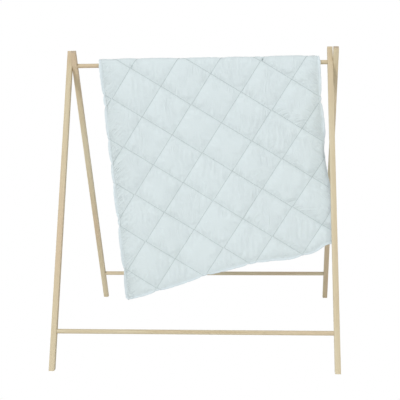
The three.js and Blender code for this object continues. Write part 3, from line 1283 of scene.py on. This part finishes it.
    def spread_out(self, mesh: Mesh, height: Array) -> Array:
        """Spreads heights over their neighbours, which leaves the broad swelling only.

        Args:
            mesh: The cloth that the heights belong to.
            height: One height for each corner.

        Returns:
            The broad heights, without the puckers.
        """
        ends = np.zeros(len(mesh.edges) * 2, int)
        mesh.edges.foreach_get("vertices", ends)
        first, second = ends.reshape(-1, 2).T
        size = len(height)
        count = np.bincount(first, minlength=size) + np.bincount(second, minlength=size)
        broad = height
        for _ in range(self.spread_passes):
            near = np.bincount(first, broad[second], size) + np.bincount(second, broad[first], size)
            broad = 0.5 * broad + 0.5 * near / count
        return broad

    # Drape --------------------------------------------------------------------------------

    def drape(self, flat: Array) -> Array:
        """Hangs flat points over the rail.

        Args:
            flat: Rows of x, over and out.

        Returns:
            Rows of x, y and z.
        """
        x, over, out = flat[:, 0], flat[:, 1], flat[:, 2]
        angles, lengths = self.bend_lengths()
        angle = np.sign(over) * np.interp(np.abs(over), lengths, angles)
        hang = np.maximum(np.abs(over) - lengths[-1], 0.0)
        front = over < 0.0
        near = 1.0 - smoothstep(np.abs(over), 0.027, self.rail_contact)
        rise = self.bend_up - 0.0012 * np.cos(np.clip(x / 0.2, -1.0, 1.0) * QUARTER)
        round_rail = self.bend_out + (rise - self.bend_out) * np.cos(angle) ** 2
        lining = -(round_rail - self.rail_radius - self.rest_gap)
        inner = out < 0.0
        pulled = np.minimum(out, self.seam_height) + 0.45 * np.maximum(out - self.seam_height, 0.0)
        out = out * (1.0 - near) + np.where(inner, lining, pulled) * near
        out = np.where(inner, np.maximum(out, lining), out)
        curl_x, depth = self.roll_right(x, over, out, front)
        sway = self.sway(x, over) * smoothstep(hang, 0.0, 0.5)
        fold = (over - self.fold_place[1] + 0.5 * (x - self.fold_place[0])) * 0.894
        pinch = self.fold_height * np.exp(-((fold / self.fold_width) ** 2))
        depth = depth + pinch * smoothstep(x, 0.46, 0.51) * front
        y_front = -self.bend_out + depth - sway
        y_back = self.bend_out + out + 0.5 * sway
        y_bend = (self.bend_out + out) * np.sin(angle)
        y_hang = np.where(front, y_front, y_back)
        y = np.where(hang > 0.0, y_hang, y_bend)
        z = self.axis_height + (rise + out) * np.cos(angle) - hang
        return np.column_stack([np.where(hang > 0.0, curl_x, x), y, z])

    def roll_right(
        self, x: Array, over: Array, out: Array, front: Array
    ) -> tuple[Array, Array]:
        """Rolls the right margin of the front half back, more and more towards its foot.

        Args:
            x: Places along the rail.
            over: Places across the rail.
            out: Heights above the middle of the padding.
            front: Which points are on the front half.

        Returns:
            The new places along the rail, and how far back the points lie.
        """
        down = -over
        radius = 0.016 + 0.024 * smoothstep(down, 0.35, 0.75)
        start = 0.505 - 0.006 * smoothstep(down, 0.27, 0.40)
        start = start + 0.018 * smoothstep(down, 0.40, 0.60)
        start = start + 0.03 * (1.0 - smoothstep(down, 0.22, 0.38))
        past = np.where(front, np.maximum(x - start, 0.0), 0.0)
        turn = np.minimum(past / radius, self.most_roll)
        rest = past - turn * radius
        new_x = np.where(past > 0.0, start + radius * np.sin(turn) + rest * np.cos(turn), x)
        new_x = new_x + out * np.sin(turn)
        depth = radius * (1.0 - np.cos(turn)) + rest * np.sin(turn) - out * np.cos(turn)
        return new_x, depth

    def sway(self, x: Array, over: Array) -> Array:
        """Returns how far the hanging cloth swings out in its slow folds."""
        lean = x + 0.25 * over
        return (
            0.004 * np.sin(2 * np.pi * (lean + 0.12) / 0.47)
            + 0.002 * np.sin(2 * np.pi * (x - 0.30 * over + 0.05) / 0.29)
            + 0.006 * smoothstep(np.abs(over), 0.5, 1.0)
        )

    # Stitches -----------------------------------------------------------------------------

    def stitch_lines(self) -> Spans:
        """Lists the flat ends of every stitched row inside the hem, square by square."""
        lines = []
        row, column, start = Vector(self.row), Vector(self.column), Vector(self.crossing)
        aside = (row - column).normalized()

        def gap(along: int, down: int) -> Vector:
            """Returns how far the two zigzag rows stop short of each other at a crossing."""
            return aside * self.knot_gap * (0.55 + 0.45 * math.sin(along * 2.3 + down * 4.1))

        for along in range(-6, 7):
            for down in range(-7, 8):
                here = start + row * along + column * down
                lines.append((here + gap(along, down), here + row - gap(along + 1, down)))
                lines.append((here - gap(along, down), here + column + gap(along, down + 1)))
        return lines

    def stitch_spans(self, pitch: float, gap: float) -> Spans:
        """Splits the stitched rows into single stitches.

        Args:
            pitch: The distance from one stitch to the next.
            gap: The bare cloth between two stitches.

        Returns:
            The flat start and end of each stitch.
        """
        spans = []
        for start, end in self.stitch_lines():
            length = (end - start).length
            count = round(length / pitch)
            along = (end - start) / count
            trim = along.normalized() * gap / 2
            for number in range(count):
                first = start + along * number + trim
                second = start + along * (number + 1) - trim
                middle = (first + second) / 2
                if self.inside_one(middle.x, middle.y) > 0.001:
                    spans.append((first, second))
        return spans

    def hem_spans(self, pitch: float, gap: float) -> Spans:
        """Splits the topstitching inside the hem into single stitches.

        Args:
            pitch: The distance from one stitch to the next.
            gap: The bare cloth between two stitches.

        Returns:
            The flat start and end of each stitch.
        """
        spots = ((-0.34, -1.0), (0.60, -0.78), (0.37, 0.56), (-0.39, 0.37))
        corners = [self.hem_corner(*spot) for spot in spots]
        spans = []
        for first, second in zip(corners, corners[1:] + corners[:1]):
            count = round((second - first).length / pitch)
            points = []
            for number in range(count + 1):
                point = first.lerp(second, number / count)
                if 0 < number < count:
                    point = Vector(self.onto_edge(point.x, point.y))
                points.append(point)
            for start, end in zip(points, points[1:]):
                trim = (end - start).normalized() * gap / 2
                spans.append((start + trim, end - trim))
        return spans

    def hem_corner(self, x: float, over: float) -> Vector:
        """Returns the corner of the topstitched line nearest to a point."""
        for _ in range(12):
            there = np.array(over)
            if x < 0:
                x = float(self.left_edge(there) + self.hem)
            else:
                x = float(self.right_edge(there) - self.hem)
            here = np.array(x)
            if over < 0:
                over = float(self.front_hem(here) + self.hem * self.front_turning)
            else:
                over = float(self.back_hem(here) - self.hem * self.back_turning)
        return Vector((x, over))

    def sew(
        self, tree: BVHTree, name: str, spans: Spans, side: Side, finish: Material
    ) -> Piece:
        """Sews the thread that shows on one cloth.

        Args:
            tree: The surface of the padded quilt before it is hung.
            name: The thread's name.
            spans: The flat start and end of each stitch.
            side: The cloth that the thread lies on.
            finish: The thread's finish.

        Returns:
            The thread as one piece.
        """
        strand = self.strand()
        thread = bmesh.new()
        for first, second in spans:
            if side is Side.BACKING and abs(first.y) < self.rail_contact:
                continue
            ends = []
            for spot in (first, second):
                above = Vector((spot.x, spot.y, side.value * 0.05))
                hit = tree.ray_cast(above, Vector((0.0, 0.0, -side.value)))[0]
                ends.append(hit or Vector((spot.x, spot.y, side.value * self.seam_height)))
            self.one_stitch(thread, strand, ends, side)
        piece = place(f"{name}_{side.name.lower()}", thread, smooth_below=80.0)
        set_coordinates(piece.data, self.drape(coordinates(piece.data)))
        piece.data.materials.append(finish)
        return piece

    def strand(self) -> Mesh:
        """Makes the strand that every stitch copies: round, of unit length and radius."""
        round_bar = bmesh.new()
        bmesh.ops.create_cone(
            round_bar, cap_ends=True, segments=6, radius1=1.0, radius2=1.0, depth=1.0
        )
        sides = [
            edge
            for edge in round_bar.edges
            if abs(edge.verts[0].co.z - edge.verts[1].co.z) > 0.5
        ]
        bmesh.ops.subdivide_edges(round_bar, edges=sides, cuts=2)
        mesh = bpy.data.meshes.new("strand")
        round_bar.to_mesh(mesh)
        round_bar.free()
        return mesh

    def one_stitch(
        self, thread: Solid, strand: Mesh, ends: list[Vector], side: Side
    ) -> None:
        """Adds one stitch: a short strand that dives into the cloth at both ends.

        Args:
            thread: The thread so far, which gains the stitch.
            strand: The unit strand.
            ends: Where the stitch comes up and where it goes down.
            side: The cloth that the stitch lies on.
        """
        along = ends[1] - ends[0]
        across = Vector((along.y, -along.x, 0.0)).normalized() * self.thread_radius
        above = along.normalized().cross(across)
        if above.z * side.value < 0.0:
            across.negate()
            above.negate()
        shape = strand.copy()
        for corner in shape.vertices:
            wide, tall, run = corner.co
            tall += 0.45 if abs(run) < 0.4 else -0.9
            corner.co = ends[0].lerp(ends[1], run + 0.5) + across * wide + above * tall
        thread.from_mesh(shape)
        bpy.data.meshes.remove(shape)

    # Whole --------------------------------------------------------------------------------

    def cloth_map(self, mesh: Mesh, flat: Array) -> None:
        """Stores the cloth's own flat map, in metres, which the weave follows."""
        corners = np.zeros(len(mesh.loops), int)
        mesh.loops.foreach_get("vertex_index", corners)
        x, over = flat[:, 0], flat[:, 1]
        beside = np.minimum(x - self.left_edge(over), self.right_edge(over) - x) - self.hem
        beneath = np.minimum(over - self.front_hem(x), self.back_hem(x) - over) - self.hem
        maps = {"Cloth": flat[:, :2], "Edges": np.column_stack([beside, beneath])}
        for name, places in maps.items():
            layer = mesh.uv_layers.new(name=name)
            layer.data.foreach_set("uv", places[corners].astype(np.float32).ravel())

    def build(self) -> None:
        """Builds the quilt and its thread, and lets them ride on the rail."""
        pad, pinned = self.closed_pad()
        LOG.info("quilt: %d corners flat, %d held", len(pinned), int(pinned.sum()))
        self.swell(pad, pinned)
        graph = bpy.context.evaluated_depsgraph_get()
        fine = bpy.data.meshes.new_from_object(pad.evaluated_get(graph))
        bpy.data.objects.remove(pad)
        flat = coordinates(fine)
        self.cloth_map(fine, flat)
        surface = bmesh.new()
        surface.from_mesh(fine)
        tree = BVHTree.FromBMesh(surface)
        surface.free()
        seams = [
            ("quilting_thread", self.stitch_spans(0.0048, 0.0006), QUILTING_THREAD_AND_GROOVE_SHADE),
            ("hem_thread", self.hem_spans(0.0042, 0.0007), HEM_COLOURS),
        ]
        threads = []
        for name, spans, colours in seams:
            finish = ThreadFinish(name, *colours).material()
            threads += [self.sew(tree, name, spans, side, finish) for side in Side]
        set_coordinates(fine, self.drape(flat))
        quilt = bpy.data.objects.new("quilt", fine)
        bpy.context.scene.collection.objects.link(quilt)
        fine.materials.clear()
        counts = np.linalg.inv(np.array([self.row, self.column]).T)
        cotton = CottonFinish(
            name="cotton_percale",
            colour=(0.705, 0.79, 0.805, 1.0),
            worn=(0.735, 0.82, 0.84, 1.0),
            # Painted shade colour for the creases and the needle grooves.
            crease_shade=(0.40, 0.48, 0.48, 1.0),
            # Painted light: the lighter, bluer colour of the hem band.
            hem_painted_light=(0.73, 0.82, 0.86, 1.0),
            start=self.crossing,
            rows=tuple((float(x), float(over), 0.0) for x, over in counts),
            square=self.square_side,
        )
        fine.materials.append(cotton.material(weave_group()))
        fine.shade_smooth()
        for piece in [quilt, *threads]:
            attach(piece, "quilt")
            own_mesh(piece)
        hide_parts("quilt_face", "quilt_wadding", "quilt_backing")
        counted = [len(thread.data.polygons) for thread in threads]
        LOG.info("quilt: %d faces, thread: %s", len(fine.polygons), counted)


def main() -> None:
    """Builds the studio, the rack and the quilt."""
    logging.basicConfig(level=logging.INFO, format="%(name)s: %(message)s")
    Studio().build()
    Rack().build()
    Quilt().build()


if __name__ == "__main__":
    main()
